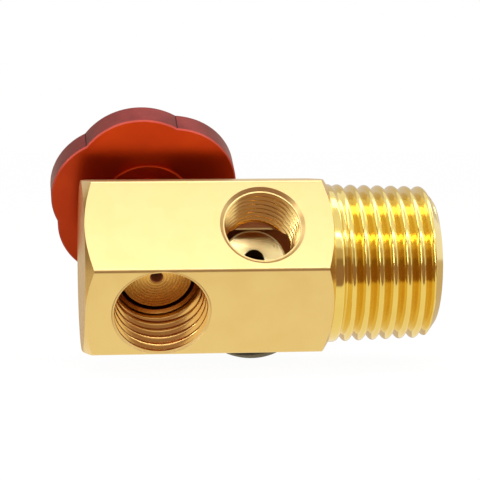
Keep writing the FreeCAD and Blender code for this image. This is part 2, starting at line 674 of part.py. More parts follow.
def make_relief_adjuster():
    """The screwed plug that sets the spring, with a key socket and a vent through it."""
    body = new_body("relief_adjuster")
    radius = "relief_chamber_radius - thread_clearance"
    turned(body, "plug", [
        ("vent_radius", "adjuster_low"), (radius, "adjuster_low"),
        (radius, "adjuster_top"), ("vent_radius", "adjuster_top")])
    socket = new_sketch(body, "adjuster_socket_area", "XY_Plane", along="adjuster_top")
    regular_hexagon(socket, "adjuster_socket")
    extruded(body, "Pocket", "adjuster_socket_cut", socket, "adjuster_socket_depth")
    place(body, "-gauge_port_x", REAR_LOWER)


make_manifold_body()
make_valve_bonnet()
make_bonnet_washer()
make_seat_disc()
make_seat_holder()
make_valve_stem()
make_stem_ring()
make_valve_knob()
make_knob_lock_washer()
make_knob_screw()
make_relief_body()
make_relief_washers()
make_relief_poppet()
make_relief_spring()
make_relief_adjuster()

doc.removeObject(trial.Name)
doc.recompute()
for item in doc.Objects:
    if "Invalid" in item.State or "Error" in item.State:
        raise RuntimeError(f"{item.Name}: {item.State}")
os.makedirs("parts", exist_ok=True)
for node in nodes:
    shape = node.Shape
    if shape.isNull() or not shape.isValid() or len(shape.Solids) != 1:
        raise RuntimeError(f"{node.Label}: bad shape")
    print(node.Label, round(shape.Volume, 3))
    shape.exportStep(f"parts/{node.Label}.step")
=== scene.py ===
"""The looks of an air tank manifold: a hexagonal brass bar with a tapered pipe thread turned on its
right end, two threaded ports in its front faces, a red hand wheel behind it and a relief valve below.
All lengths are written in millimetres and become metres in the meshes."""

import math

import bmesh
import bpy
import numpy as np
from mathutils import Matrix, Vector


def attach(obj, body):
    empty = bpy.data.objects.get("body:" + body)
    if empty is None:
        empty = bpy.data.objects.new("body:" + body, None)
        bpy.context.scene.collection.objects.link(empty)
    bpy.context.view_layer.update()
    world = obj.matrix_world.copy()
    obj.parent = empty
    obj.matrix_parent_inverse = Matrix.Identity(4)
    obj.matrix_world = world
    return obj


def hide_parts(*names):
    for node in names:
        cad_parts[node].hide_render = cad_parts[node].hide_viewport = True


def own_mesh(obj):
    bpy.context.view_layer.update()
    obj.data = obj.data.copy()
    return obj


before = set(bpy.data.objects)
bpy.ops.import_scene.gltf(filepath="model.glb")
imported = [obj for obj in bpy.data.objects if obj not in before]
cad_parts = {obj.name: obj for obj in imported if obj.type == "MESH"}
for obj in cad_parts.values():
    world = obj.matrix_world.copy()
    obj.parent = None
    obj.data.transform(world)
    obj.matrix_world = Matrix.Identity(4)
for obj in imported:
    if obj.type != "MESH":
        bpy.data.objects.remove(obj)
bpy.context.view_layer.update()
MM = 0.001


# ---------------------------------------------------------------- camera
# A long lens a quarter of a metre away, a little left of the part and a little above its axis. Its
# place, its turns in radians and its focal length were fitted to edges measured on the photograph.
CAMERA_PLACE = (-43.61, -259.41, 15.95)
YAW, PITCH, ROLL = 0.1252, 0.0489, -0.0041

camera_data = bpy.data.cameras.new("camera")
camera_data.sensor_width = 36.0
camera_data.lens = 149.12
camera_data.clip_start = 0.01
camera_data.clip_end = 20.0
camera = bpy.data.objects.new("camera", camera_data)
bpy.context.scene.collection.objects.link(camera)
bpy.context.scene.camera = camera
ahead = Vector((math.sin(YAW) * math.cos(PITCH), math.cos(YAW) * math.cos(PITCH), -math.sin(PITCH)))
level = Vector((math.cos(YAW), -math.sin(YAW), 0.0))
above = level.cross(ahead)
right = math.cos(ROLL) * level + math.sin(ROLL) * above
up = -math.sin(ROLL) * level + math.cos(ROLL) * above
turn = Matrix((right, up, -ahead)).transposed().to_4x4()
camera.matrix_world = Matrix.Translation(Vector(CAMERA_PLACE) * MM) @ turn


# ---------------------------------------------------------------- room
# A white floor under the part and white air all round. A long lamp in front and a wide one overhead
# make the two bright bands on the thread, dark cards low in front and at the left make the dark one,
# and a warm card below the part keeps its lower faces golden.
FLOOR, FLOOR_REACH, CARD_REACH = -13.45, 6000, 700
LAMP_AIM = (-10.0, 0.0, 0.0)


class Wire:
    """One output of a shader node. Arithmetic on it adds Math nodes."""

    def __init__(self, net, socket):
        self.net, self.socket = net, socket

    def math(self, operation, *values):
        inputs = dict(enumerate((self, *values)))
        return self.net.node("ShaderNodeMath", {"operation": operation}, inputs)

    def __add__(self, other):
        return self.math("ADD", other)

    def __sub__(self, other):
        return self.math("SUBTRACT", other)

    def __mul__(self, other):
        return self.math("MULTIPLY", other)

    def __rsub__(self, other):
        return self.net.node("ShaderNodeMath", {"operation": "SUBTRACT"}, {0: other, 1: self})

    __radd__ = __add__

    def step(self, low, high, bottom=0.0, top=1.0):
        """A smooth rise from bottom to top while the value goes from low to high."""
        return self.net.node("ShaderNodeMapRange", {"interpolation_type": "SMOOTHSTEP"}, {
            "Value": self, "From Min": low, "From Max": high, "To Min": bottom, "To Max": top})

    def band(self, low, high, soft):
        """One between low and high, and nothing outside them."""
        return self.step(low - soft, low + soft) * self.step(high - soft, high + soft, 1.0, 0.0)


class Net:
    """The nodes of one material."""

    def __init__(self, tree):
        self.tree = tree

    def node(self, kind, settings=None, values=None, output=0):
        """A node with its settings, then its inputs as numbers or wires; returns one output."""
        made = self.tree.nodes.new(kind)
        for key, value in (settings or {}).items():
            setattr(made, key, value)
        for key, value in (values or {}).items():
            self.feed(made.inputs[key], value)
        return Wire(self, made.outputs[output])

    def feed(self, socket, value):
        if isinstance(value, Wire):
            self.tree.links.new(value.socket, socket)
        else:
            socket.default_value = value

    def mixed(self, share, first, second):
        """A colour that goes from first to second as share goes from 0 to 1."""
        made = self.tree.nodes.new("ShaderNodeMix")
        made.data_type = "RGBA"
        for index, value in ((0, share), (6, first), (7, second)):
            self.feed(made.inputs[index], value)
        return Wire(self, made.outputs[2])


world = bpy.data.worlds.new("room")
bpy.context.scene.world = world
world.use_nodes = True
world.node_tree.nodes["Background"].inputs["Color"].default_value = (1.0, 1.0, 1.0, 1.0)
world.node_tree.nodes["Background"].inputs["Strength"].default_value = 1.0


def lamp(name, place, wide, high, watts):
    """A soft lamp that shines from place towards the middle of the part."""
    data = bpy.data.lights.new(name, "AREA")
    data.shape = "RECTANGLE"
    data.size, data.size_y, data.energy = wide * MM, high * MM, watts
    made = bpy.data.objects.new(name, data)
    bpy.context.scene.collection.objects.link(made)
    towards = Vector(LAMP_AIM) - Vector(place)
    made.rotation_euler = towards.to_track_quat("-Z", "Y").to_euler()
    made.location = Vector(place) * MM
    made.visible_camera = False


lamp("upper_strip", (-20.0, -290.0, 285.0), 1400.0, 48.0, 1.08)
lamp("overhead", (-20.0, 55.0, 420.0), 1400.0, 140.0, 1.48)
lamp("left_strip", (-420.0, -160.0, 45.0), 50.0, 200.0, 0.22)

bpy.context.scene.view_settings.view_transform = "Standard"


def finish_shading(mesh, sharp):
    """Smooth shading, with edges left sharp past an angle in degrees."""
    mesh.polygons.foreach_set("use_smooth", np.ones(len(mesh.polygons), bool))
    mesh.set_sharp_from_angle(angle=math.radians(sharp))


def put(name, points, faces, materials, body, marks=None, sharp=20.0):
    """A piece from points in millimetres and arrays of faces, merged, smooth up to the sharp angle.
    marks gives each face the number of its material."""
    mesh = bpy.data.meshes.new(name)
    mesh.from_pydata((points * MM).tolist(), [], [list(face) for rows in faces for face in rows.tolist()])
    for material in materials:
        mesh.materials.append(material)
    if marks is not None:
        mesh.polygons.foreach_set("material_index", marks)
    shell = bmesh.new()
    shell.from_mesh(mesh)
    bmesh.ops.remove_doubles(shell, verts=shell.verts, dist=0.0005 * MM)
    bmesh.ops.dissolve_degenerate(shell, dist=0.0001 * MM, edges=shell.edges)
    shell.to_mesh(mesh)
    shell.free()
    finish_shading(mesh, sharp)
    piece = bpy.data.objects.new(name, mesh)
    bpy.context.scene.collection.objects.link(piece)
    if body:
        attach(piece, body)
    return piece


floor_material = bpy.data.materials.new("pale_floor")
floor_material.use_nodes = True
ground = Net(floor_material.node_tree)
matte = floor_material.node_tree.nodes["Principled BSDF"]
matte.inputs["Base Color"].default_value = (0.86, 0.86, 0.85, 1.0)
matte.inputs["Roughness"].default_value = 0.9
lit = ground.node("ShaderNodeEmission", values={"Color": (1.0, 1.0, 1.0, 1.0), "Strength": 1.0})
seen = sum(ground.node("ShaderNodeLightPath", output=f"Is {kind} Ray")
           for kind in ("Camera", "Glossy", "Transmission"))
both = ground.node("ShaderNodeMixShader", values={
    0: seen.math("MINIMUM", 1.0) * 0.96, 1: Wire(ground, matte.outputs[0]), 2: lit})
ground.feed(floor_material.node_tree.nodes["Material Output"].inputs["Surface"], both)
corners = [(-FLOOR_REACH, -FLOOR_REACH, FLOOR), (FLOOR_REACH, -FLOOR_REACH, FLOOR),
           (FLOOR_REACH, FLOOR_REACH, FLOOR), (-FLOOR_REACH, FLOOR_REACH, FLOOR)]
floor = put("floor", np.array(corners, float), [np.array([[0, 1, 2, 3]])], [floor_material], None)


def card(name, colour, *points):
    """A card of an even tone that shows only where metal mirrors it."""
    paint = bpy.data.materials.new(name)
    paint.use_nodes = True
    net = Net(paint.node_tree)
    tone = net.node("ShaderNodeEmission", values={"Color": (*colour, 1.0), "Strength": 1.0})
    net.feed(paint.node_tree.nodes["Material Output"].inputs["Surface"], tone)
    made = put(name, np.array(points, float), [np.array([[0, 1, 2, 3]])], [paint], None)
    made.visible_camera = made.visible_shadow = made.visible_diffuse = False


def floor_card(name, colour, front, back):
    """A card that lies across the floor from one y to another."""
    low = FLOOR + 0.2
    card(name, colour, (-CARD_REACH, front, low), (CARD_REACH, front, low),
         (CARD_REACH, back, low), (-CARD_REACH, back, low))


def wall_card(name, colour, y, low, high):
    """A card that stands across the room at one y."""
    card(name, colour, (-CARD_REACH, y, low), (CARD_REACH, y, low),
         (CARD_REACH, y, high), (-CARD_REACH, y, high))


floor_card("low_card", (0.33, 0.19, 0.145), -CARD_REACH, -28)
floor_card("warm_card", (0.97, 0.89, 0.69), -28, 6)
floor_card("rear_floor_card", (0.62, 0.50, 0.36), 6, CARD_REACH)
wall_card("front_card_low", (0.31, 0.20, 0.13), -CARD_REACH, FLOOR, 120)
wall_card("front_card_high", (0.60, 0.47, 0.36), -CARD_REACH, 120, 325)
wall_card("rear_card", (0.68, 0.60, 0.52), CARD_REACH, FLOOR, 800)
card("left_card", (0.30, 0.21, 0.14),
     (-500, -250, FLOOR), (-500, 600, FLOOR), (-500, 600, 320), (-500, -250, 320))


# ---------------------------------------------------------------- bar
# Hexagonal drawn brass, 7/8 inch across its flats, with a fine satin skin, its long edges a little
# round and both ends turned off to chamfers. The hose and gauge ports, the tank bore and the valve
# chambers are drilled into it and carry the tool's rings.
FLATS, EDGE_ROUND, BAR_END = 22.225, 0.62, -31.85
HALF = FLATS / 2
LEFT_CIRCLE, RIGHT_CIRCLE, END_SLOPE = 11.09, 10.92, math.tan(math.radians(32))
HOSE_X, GAUGE_X = -22.2, -9.25
HOSE_PITCH, GAUGE_PITCH = 25.4 / 18, 25.4 / 27
HOSE_ROWS, GAUGE_ROWS = 18, 14
HOSE_FLOOR, GAUGE_FLOOR = HALF - 8.25, 3.33
HOSE_START, GAUGE_START = 3.3, 3.7
HOSE_LIP, GAUGE_LIP = HALF - 0.2, HALF - 0.42
SCREWED_HOLE, BORE, ORIFICE, PASSAGE = 4.47, 4.78, 0.75, 1.4
OUTSIDE = HALF + 1
AROUND = 192


def out_of(face_angle):
    """The direction out of a face of the bar, whose angle is counted from +Y towards +Z."""
    angle = math.radians(face_angle)
    return np.array([0.0, math.cos(angle), math.sin(angle)])


REAR_UPPER, FRONT_UPPER, FRONT_LOWER, REAR_LOWER = (out_of(a) for a in (30, 150, 210, -30))


def new_net(name):
    """The nodes of a new material, with its shader at hand."""
    made = bpy.data.materials.new(name)
    made.use_nodes = True
    net = Net(made.node_tree)
    net.material, net.shader = made, made.node_tree.nodes["Principled BSDF"]
    return net


def metal(name, colour, dark, rough, lines=None, line_depth=0.0, cloud=0.12, coat=0.0, coat_rough=0.2,
          bare=1.0):
    """A metal whose colour clouds gently towards a darker tone, with fine cutting lines. lines is a
    function of the net and its place in millimetres that gives the lines' height."""
    net = new_net(name)
    place = net.node("ShaderNodeTexCoord", output="Object")
    in_mm = net.node("ShaderNodeVectorMath", {"operation": "SCALE"}, {0: place, "Scale": 1000.0})
    clouds = net.node("ShaderNodeTexNoise", None, {
        "Vector": in_mm, "Scale": 0.22, "Detail": 4.0, "Roughness": 0.55})
    grain = net.node("ShaderNodeTexNoise", None, {
        "Vector": in_mm, "Scale": 9.0, "Detail": 3.0, "Roughness": 0.6})
    share = clouds.step(0.35, 0.7) * 0.7 + grain * 0.3
    net.feed(net.shader.inputs["Base Color"], net.mixed(share, (*colour, 1.0), (*dark, 1.0)))
    roughness = rough + (clouds - 0.5) * cloud + (grain - 0.5) * cloud
    height = grain * 0.25
    if lines:
        ridges = lines(net, in_mm)
        height = height + ridges
        roughness = roughness + (ridges - 0.5) * cloud * 0.6
    net.feed(net.shader.inputs["Roughness"], roughness)
    bump = net.node("ShaderNodeBump", None, {"Strength": 1.0, "Distance": line_depth * MM, "Height": height})
    net.feed(net.shader.inputs["Normal"], bump)
    net.shader.inputs["Metallic"].default_value = bare
    net.shader.inputs["Coat Weight"].default_value = coat
    net.shader.inputs["Coat Roughness"].default_value = coat_rough
    return net.material


def across_lines(net, place):
    """Fine lines across the bar, from the belt that cleaned its flats."""
    stretched = net.node("ShaderNodeMapping", None, {"Vector": place, "Scale": (14.0, 0.12, 0.12)})
    return net.node("ShaderNodeTexNoise", None, {"Vector": stretched, "Scale": 1.0, "Detail": 3.0})


def ring_lines(centre, axis, pitch, wander=0.0):
    """Rings round an axis, pitch millimetres apart, as a facing tool leaves them."""
    def lines(net, place):
        moved = net.node("ShaderNodeVectorMath", {"operation": "SUBTRACT"}, {0: place, 1: centre})
        along = net.node("ShaderNodeVectorMath", {"operation": "DOT_PRODUCT"}, {0: moved, 1: axis},
                         output="Value")
        size = net.node("ShaderNodeVectorMath", {"operation": "LENGTH"}, {0: moved}, output="Value")
        radius = (size * size - along * along).math("MAXIMUM", 0.0).math("SQRT")
        wave = (radius * (2 * math.pi / pitch)).math("SINE") * 0.5 + 0.5
        if wander:
            drift = net.node("ShaderNodeTexNoise", {"noise_dimensions": "1D"}, {
                "W": radius, "Scale": 3.1, "Detail": 3.0})
            wave = wave * (1.0 - wander) + drift * wander
        return wave
    return lines


satin_brass = metal("satin_brass", (0.83, 0.63, 0.265), (0.80, 0.59, 0.235), 0.33, across_lines, 0.004,
                    coat=0.5, coat_rough=0.3)
turned_brass = metal("turned_brass", (0.86, 0.64, 0.26), (0.78, 0.54, 0.19), 0.24,
                     ring_lines((0, 0, 0), (1, 0, 0), 0.22, 0.5), 0.004)
port_brass = metal("port_brass", (0.86, 0.56, 0.20), (0.78, 0.44, 0.13), 0.19, cloud=0.05)
# Dark red-brown brass for the port threads' groove lines: painted shade in the roots.
shaded_groove_brass = metal("shaded_groove_brass", (0.36, 0.10, 0.03), (0.28, 0.07, 0.02), 0.35, cloud=0.05)
# Paler brass on the gauge port's thread: painted light inside the port.
lit_gauge_brass = metal("lit_gauge_brass", (0.96, 0.69, 0.26), (0.91, 0.61, 0.20), 0.18, cloud=0.05)
mouth_brass = metal("mouth_brass", (0.80, 0.58, 0.26), (0.74, 0.50, 0.20), 0.36, cloud=0.05)
# Darker, redder brass in the tank bore, orifice, passage and the gauge port's floor: painted shade inside
# them.
shaded_bore_brass = metal("shaded_bore_brass", (0.66, 0.28, 0.11), (0.58, 0.22, 0.08), 0.46, bare=0.4)
shaded_brass = metal("shaded_brass", (0.16, 0.035, 0.04), (0.10, 0.02, 0.024), 0.5)
floor_brass = metal("floor_brass", (0.93, 0.60, 0.17), (0.84, 0.49, 0.12), 0.28,
                    ring_lines((HOSE_X, 0, 0), tuple(FRONT_LOWER), 0.40, 0.3), 0.006)
bar_brasses = [satin_brass, turned_brass, port_brass, floor_brass, shaded_bore_brass, shaded_brass, shaded_groove_brass,
               lit_gauge_brass, mouth_brass]
SATIN, TURNED, PORT, PORT_FLOOR, SHADED_BORE, SHADED, SHADED_GROOVE, LIT_GAUGE, MOUTH = range(9)


def hexagon_outline(flats, edge_round, per_flat, per_edge):
    """Points round a hexagon with rounded corners: along each flat at its distance from the centre,
    then round an arc at each corner. Returns (n, 2), anticlockwise, starting on the flat at 30 degrees."""
    half = flats / 2
    reach = half * math.tan(math.pi / 6) - edge_round * math.tan(math.pi / 6)
    along = np.linspace(-reach, reach, per_flat)
    turns = np.linspace(0, math.pi / 3, per_edge + 2)[1:-1]
    rows = []
    for flat in range(6):
        facing = math.radians(30 + 60 * flat)
        out = np.array([math.cos(facing), math.sin(facing)])
        side = np.array([-math.sin(facing), math.cos(facing)])
        rows.append(out * half + along[:, None] * side)
        corner = facing + math.pi / 6
        centre = (half - edge_round) / math.cos(math.pi / 6) * np.array([math.cos(corner), math.sin(corner)])
        arc = facing + turns
        rows.append(centre + edge_round * np.stack([np.cos(arc), np.sin(arc)], 1))
    return np.concatenate(rows)


def grid_faces(rows, columns, wrap_rows=False):
    """Quads between neighbouring rings; columns close round, and rows too if asked."""
    k, j = np.meshgrid(np.arange(rows if wrap_rows else rows - 1), np.arange(columns), indexing="ij")
    k2, j2 = (k + 1) % rows, (j + 1) % columns
    faces = np.stack([k * columns + j, k * columns + j2, k2 * columns + j2, k2 * columns + j], -1)
    return faces.reshape(-1, 4)


def hexagon_solid(outline, low, high, low_circle, high_circle, slope):
    """A hexagonal bar whose ends are turned: each end's cone runs from a circle on the end face back
    to the outline, at slope along per unit outward. Returns rings (4, n, 3) of (across, across, along)."""
    reach = np.hypot(*outline.T)
    unit = outline / reach[:, None]
    rings = []
    for height, circle, way in ((low, low_circle, 1), (high, high_circle, -1)):
        cut = height + way * np.maximum(reach - circle, 0) * slope
        circle_ring = np.column_stack([unit * np.minimum(circle, reach)[:, None], np.full(len(unit), height)])
        outer_ring = np.column_stack([outline, cut])
        rings += [circle_ring, outer_ring] if way > 0 else [outer_ring, circle_ring]
    return np.stack(rings)


def set_along(points, centre_x, out):
    """Turn points (a, b, along) so that along points out of a face at centre_x."""
    first = np.array([1.0, 0.0, 0.0])
    centre = np.array([centre_x, 0, 0])
    return centre + points[..., :1] * first + points[..., 1:2] * np.cross(out, first) + points[..., 2:] * out


def set_on_bar(points):
    """Turn points (a, b, along) so that along is the bar's own axis, +X."""
    return points[..., [2, 0, 1]]


def rings_of(profile, around=AROUND):
    """Rings from (radius, height) corners: each corner turned about the axis. Shape (k, around, 3)."""
    angle = np.arange(around) * (2 * math.pi / around)
    profile = np.array(profile, float)
    return np.stack([profile[:, :1] * np.cos(angle), profile[:, :1] * np.sin(angle),
                     np.repeat(profile[:, 1:], around, 1)], -1)


def threaded_band(low, high, pitch, start, radius_at, per_pitch):
    """A right-hand thread between two heights. Each grid line follows the helix, height = start +
    pitch * (k / per_pitch + angle / turn), held between low and high, and radius_at gives the
    radius from the height and the phase, which is 0 on the crest line that passes start."""
    first = start + pitch * (math.floor((low - start) / pitch) - 1)
    rows = int(math.ceil((high - first) / pitch + 1)) * per_pitch
    k, j = np.meshgrid(np.arange(rows + 1), np.arange(AROUND), indexing="ij")
    height = np.clip(first + pitch * (k / per_pitch + j / AROUND), low, high)
    phase = (height - start) / pitch - j / AROUND
    radius = radius_at(height, np.abs(phase - np.round(phase)) * 2)
    angle = j * (2 * math.pi / AROUND)
    points = np.stack([radius * np.cos(angle), radius * np.sin(angle), height], -1).reshape(-1, 3)
    k, j = np.meshgrid(np.arange(rows), np.arange(AROUND), indexing="ij")
    wraps = j == AROUND - 1
    lower = np.where(wraps, np.minimum(k + per_pitch, rows), k)
    upper = np.where(wraps, np.minimum(k + 1 + per_pitch, rows), k + 1)
    j2 = (j + 1) % AROUND
    faces = np.stack([k * AROUND + j, lower * AROUND + j2, upper * AROUND + j2, (k + 1) * AROUND + j], -1)
    return points, faces.reshape(-1, 4)


def groove(phase, depth, crest, root, ease):
    """The depth of a thread's groove, none over the crest's share of the half pitch, then down a
    straight flank with an eased shoulder to a root of its own share."""
    ramp = np.clip((phase - crest) / (1 - crest - root), 0, 1)
    return depth * (np.sqrt(ramp ** 2 + ease ** 2) - ease) / (math.sqrt(1 + ease ** 2) - ease)


def rise(value, low, high):
    """A smooth rise from 0 to 1."""
    t = np.clip((value - low) / (high - low), 0, 1)
    return t * t * (3 - 2 * t)


def gather(parts):
    """Join (points, faces, mark) parts into one set of arrays."""
    offset, points, faces, marks = 0, [], [], []
    for some_points, some_faces, mark in parts:
        some_points = some_points.reshape(-1, 3)
        points.append(some_points)
        faces.append(some_faces + offset)
        marks.append(np.full(len(some_faces), mark))
        offset += len(some_points)
    return np.concatenate(points), faces, np.concatenate(marks)


def lathed(profile, mark=0, around=AROUND, closed=False):
    """A band of the parts list, turned from a profile; closed joins its last ring to its first."""
    rings = rings_of(profile, around)
    return rings, grid_faces(len(rings), around, closed), mark


def hose_thread(height, phase):
    """Radius of the hose port: a crest cone that tapers inwards, with 60 degree flanks whose groove
    fades out before the floor and before the mouth's lip."""
    ends = rise(height, 3.7, 4.6) * rise(HOSE_LIP - height, 0.0, 0.3)
    return 6.04 - (HALF - height) * 0.072 + groove(phase, 0.78, 0.12, 0.04, 0.12) * ends


def gauge_thread(height, phase):
    """Radius of the gauge port: as the hose port, with a finer pitch."""
    ends = rise(height, 3.7, 4.2) * rise(GAUGE_LIP - height, 0.0, 0.2)
    return 4.90 - (HALF - height) * 0.085 + groove(phase, 0.62, 0.14, 0.05, 0.12) * ends


def shaded_grooves(band, per_pitch, low, high, crest_mark):
    """A threaded band whose groove lines take the dark groove brass between two heights, a painted shade in
    the thread's roots.
    """
    points, faces = band
    place = ((np.arange(len(faces)) // AROUND + 0.5) / per_pitch) % 1
    height = points[faces].mean(1)[:, 2]
    dark = (np.abs(place - 0.5) < 0.17) & (height > low) & (height < high)
    return points, faces, np.where(dark, SHADED_GROOVE, crest_mark)


outline = hexagon_outline(FLATS, EDGE_ROUND, 17, 7)
rings = hexagon_solid(outline, BAR_END, 0.0, LEFT_CIRCLE, RIGHT_CIRCLE, END_SLOPE)
count = len(outline)
caps = [np.arange(count)[None, ::-1], (3 * count + np.arange(count))[None, :]]
marks = np.append(np.repeat([TURNED, SATIN, TURNED], count), [TURNED, TURNED])
bar = put("bar", set_on_bar(rings.reshape(-1, 3)), [grid_faces(4, count), *caps], bar_brasses, None,
          marks, sharp=25.0)

hose_band = threaded_band(HOSE_START, HOSE_LIP, HOSE_PITCH, 9.9, hose_thread, HOSE_ROWS)
hose_parts = [
    lathed([(0, HOSE_FLOOR), (4.58, HOSE_FLOOR), (4.66, HOSE_FLOOR - 0.06)], PORT_FLOOR),
    lathed([(4.66, HOSE_FLOOR - 0.06), (4.66, HOSE_FLOOR - 1.2), (5.06, HOSE_FLOOR - 1.2), (5.06, HOSE_FLOOR),
            (5.12, HOSE_FLOOR + 0.07)], SHADED),
    lathed([(5.12, HOSE_FLOOR + 0.07), (hose_thread(HOSE_START, 0.0), HOSE_START)], PORT),
    shaded_grooves(hose_band, HOSE_ROWS, 4.1, HOSE_LIP - 0.2, PORT),
    lathed([(hose_thread(HOSE_LIP, 0.0), HOSE_LIP), (6.22, HALF - 0.14), (6.36, HALF), (6.36, OUTSIDE),
            (0, OUTSIDE)], MOUTH)]
gauge_band = threaded_band(GAUGE_START, GAUGE_LIP, GAUGE_PITCH, 9.6, gauge_thread, GAUGE_ROWS)
gauge_parts = [
    lathed([(0, GAUGE_FLOOR), (4.1, GAUGE_FLOOR), (gauge_thread(GAUGE_START, 0.0), GAUGE_START)], SHADED_BORE),
    shaded_grooves(gauge_band, GAUGE_ROWS, 3.9, GAUGE_LIP - 0.15, LIT_GAUGE),
    lathed([(gauge_thread(GAUGE_LIP, 0.0), GAUGE_LIP), (5.02, GAUGE_LIP + 0.01)], SATIN),
    lathed([(5.02, GAUGE_LIP + 0.01), (5.47, HALF), (5.47, OUTSIDE), (0, OUTSIDE)], MOUTH)]
screwed_mouth = [(SCREWED_HOLE, HALF - 0.3), (SCREWED_HOLE + 0.3, HALF), (SCREWED_HOLE + 0.3, OUTSIDE),
                 (0, OUTSIDE)]
seat_parts = [lathed([(0, 1.16), (1.6, 1.16), (1.6, 0.6), (3.3, 0.6), (3.3, 5.2), (SCREWED_HOLE, 5.2),
                      *screwed_mouth], TURNED, 96)]
orifice_parts = [lathed([(0, -3.8), (0.95, -3.8), (0.95, -2.95), (ORIFICE, -2.7), (ORIFICE, 2.0), (0, 2.0)],
                        SHADED_BORE, 64)]
relief_parts = [lathed([(0, 0), (SCREWED_HOLE, 0), *screwed_mouth], TURNED, 96)]
bore_parts = [lathed([(0, -16.87), (BORE, -14.0), (BORE, 1.0), (0, 1.0)], SHADED_BORE)]
passage_parts = [lathed([(0, -20.5), (PASSAGE, -20.5), (PASSAGE, -13.5), (0, -13.5)], SHADED_BORE, 48)]
beside_bore = 2.5 * np.array([math.cos(math.radians(30)), math.sin(math.radians(30)), 0.0])


def cutter(name, place, parts):
    """A closed shape to cut away, from bands in its own frame."""
    points, faces, marks = gather(parts)
    return put(name, place(points), faces, bar_brasses, None, marks)


cutters = [
    cutter("cut_bore", set_on_bar, bore_parts),
    cutter("cut_hose_port", lambda p: set_along(p, HOSE_X, FRONT_LOWER), hose_parts),
    cutter("cut_gauge_port", lambda p: set_along(p, GAUGE_X, FRONT_UPPER), gauge_parts),
    cutter("cut_valve_chamber", lambda p: set_along(p, HOSE_X, REAR_UPPER), seat_parts),
    cutter("cut_orifice", lambda p: set_along(p, HOSE_X, REAR_UPPER), orifice_parts),
    cutter("cut_relief_port", lambda p: set_along(p, GAUGE_X, REAR_LOWER), relief_parts),
    cutter("cut_passage", lambda p: set_on_bar(p + beside_bore), passage_parts)]
for tool in cutters:
    cut = bar.modifiers.new(tool.name, "BOOLEAN")
    cut.operation = "DIFFERENCE"
    cut.object = tool
    cut.solver = "MANIFOLD"
    cut.material_mode = "INDEX"
drilled = bpy.data.meshes.new_from_object(bar.evaluated_get(bpy.context.evaluated_depsgraph_get()))
bar.modifiers.clear()
bar.data = drilled
for tool in cutters:
    bpy.data.objects.remove(tool)
finish_shading(drilled, 22.0)
even = bar.modifiers.new("even_normals", "WEIGHTED_NORMAL")
even.keep_sharp = True
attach(bar, "manifold")
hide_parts("manifold_body")


# ---------------------------------------------------------------- burr in the gauge port
# A thin bead where the tank bore's drill breaks through the floor of the gauge port, standing for its burr;
# the bead's pale, nearly matt brass is a painted highlight along that edge. It is part of the bar's own
# brass.
BURR, BURR_REACH = 0.13, 2.5
burr_off = math.sqrt(BORE ** 2 - GAUGE_FLOOR ** 2) + 0.03

# Pale, nearly matt brass: a painted highlight on the burr bead and on the relief nose's rim ring.
highlight_edge_brass = metal("highlight_edge_brass", (1.0, 0.80, 0.36), (0.97, 0.74, 0.31), 0.4, bare=0.1)
bead = rings_of([(0, -BURR_REACH - 0.05), (BURR, -BURR_REACH), (BURR, BURR_REACH),
                 (0, BURR_REACH + 0.05)], 24)
bead = np.stack([bead[..., 2], bead[..., 1] + burr_off, bead[..., 0] + GAUGE_FLOOR], -1).reshape(-1, 3)
burr_highlight = put("gauge_floor_burr_highlight", set_along(bead, GAUGE_X, FRONT_UPPER), [grid_faces(4, 24)[:, ::-1]],
           [highlight_edge_brass], "manifold")
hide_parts("manifold_body")


# ---------------------------------------------------------------- tank thread
# 1/2-14 tapered pipe thread, single-point cut on the turned spigot, bright and deep in colour. The
# last grooves run out before the shoulder, and the end has a lead chamfer.
TANK_PITCH, TANK_END, TANK_FACE, TANK_CREST = 25.4 / 14, 14.4, 8.43, 10.46


def axis_lines(net, place):
    """Very fine lines round the bar's axis, from the thread's tool."""
    along = net.node("ShaderNodeSeparateXYZ", values={0: place})
    return net.node("ShaderNodeTexNoise", {"noise_dimensions": "1D"}, {
        "W": along, "Scale": 1.0 / 0.11, "Detail": 2.0})


thread_brass = metal("thread_brass", (0.86, 0.66, 0.17), (0.82, 0.60, 0.145), 0.13, axis_lines, 0.004,
                     0.05, 1.0, 0.09)


def tank_radius(height, phase):
    """Crest cone, tapering 1 in 32, less the groove between round crests, which fades in from the
    shoulder, and cut back by the lead chamfer at the end."""
    thread = TANK_CREST - height / 32 - groove(phase, 1.16, 0.04, 0.02, 0.85) * rise(height, 0.6, 2.4)
    return np.minimum(thread, TANK_FACE + (TANK_END - height) * 1.34)


tank_parts = [
    (*threaded_band(0.0, TANK_END, TANK_PITCH, 3.82 - TANK_PITCH / 4, tank_radius, 20), 0),
    lathed([(TANK_FACE, TANK_END), (BORE + 0.6, TANK_END)], 1),
    lathed([(BORE + 0.6, TANK_END), (BORE, TANK_END - 0.6), (BORE, 0.0), (TANK_CREST, 0.0)], 0)]
points, faces, marks = gather(tank_parts)
tank_thread = put("tank_thread", set_on_bar(points), faces, [thread_brass, turned_brass],
                  "manifold", marks, sharp=35.0)
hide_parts("manifold_body")


# ---------------------------------------------------------------- knob
# Six-lobed aluminium wheel, turned on its faces and milled round its rim, then red anodised. A low
# hub stands on the near face, and a pocket in the far face takes the screw.
KNOB_NEAR, KNOB_THICK, KNOB_TURN = 15.08, 4.0, 17.4
KNOB_TOP = KNOB_NEAR + KNOB_THICK
LOBE_RADIUS, LOBE_OUT, NEAR_BEVEL, FAR_BEVEL = 8.95, 4.35, 0.2, 0.35
HUB_FACE, HUB_RADIUS, STEM_HOLE, POCKET, POCKET_FLOOR = 14.78, 6.3, 1.97, 2.8, 16.88


